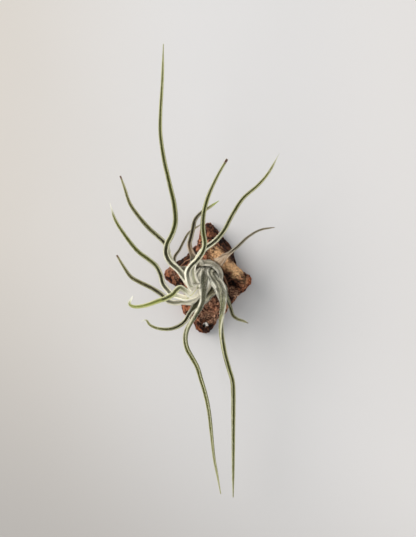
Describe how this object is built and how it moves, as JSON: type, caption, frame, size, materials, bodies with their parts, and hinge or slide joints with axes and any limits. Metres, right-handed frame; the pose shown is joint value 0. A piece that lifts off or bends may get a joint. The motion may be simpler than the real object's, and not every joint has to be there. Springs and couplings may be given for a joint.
{
  "type": "air plant on cork bark",
  "caption": "Long-leaved fuzzy air plant with a wrapped bulb foot, rooted on a rough piece of cork bark that lies on its flat back.",
  "frame": {"origin": "on the flat back of the bark, about under the foot of the plant", "axes": "+Z out of the bark's flat back, towards the plant; +Y along the length of the plant, towards its highest leaf tip in the picture; +X to the picture's right"},
  "size_m": [0.1002, 0.267, 0.072],
  "materials": {
    "green_leaf": "matt grey-green under a frost of pale scales, with a dark green channel",
    "bright_leaf": "matt light green with white margins",
    "old_leaf": "dull brownish grey",
    "young_leaf": "whitish green, thickly frosted",
    "stem_and_roots": "dull brown, wiry",
    "cork": "rough reddish-brown cork bark, matt"
  },
  "bodies": {
    "root": {"leaf_01": "green_leaf", "leaf_02": "green_leaf", "leaf_03": "green_leaf", "leaf_04": "green_leaf", "leaf_05": "bright_leaf", "leaf_06": "green_leaf", "leaf_07": "green_leaf", "leaf_08": "old_leaf", "leaf_09": "green_leaf", "leaf_10": "green_leaf", "leaf_11": "green_leaf", "leaf_12": "green_leaf", "leaf_13": "green_leaf", "leaf_14": "green_leaf", "young_spear": "young_leaf", "stem_and_roots": "stem_and_roots", "cork_bark": "cork"}
  },
  "joints": []
}
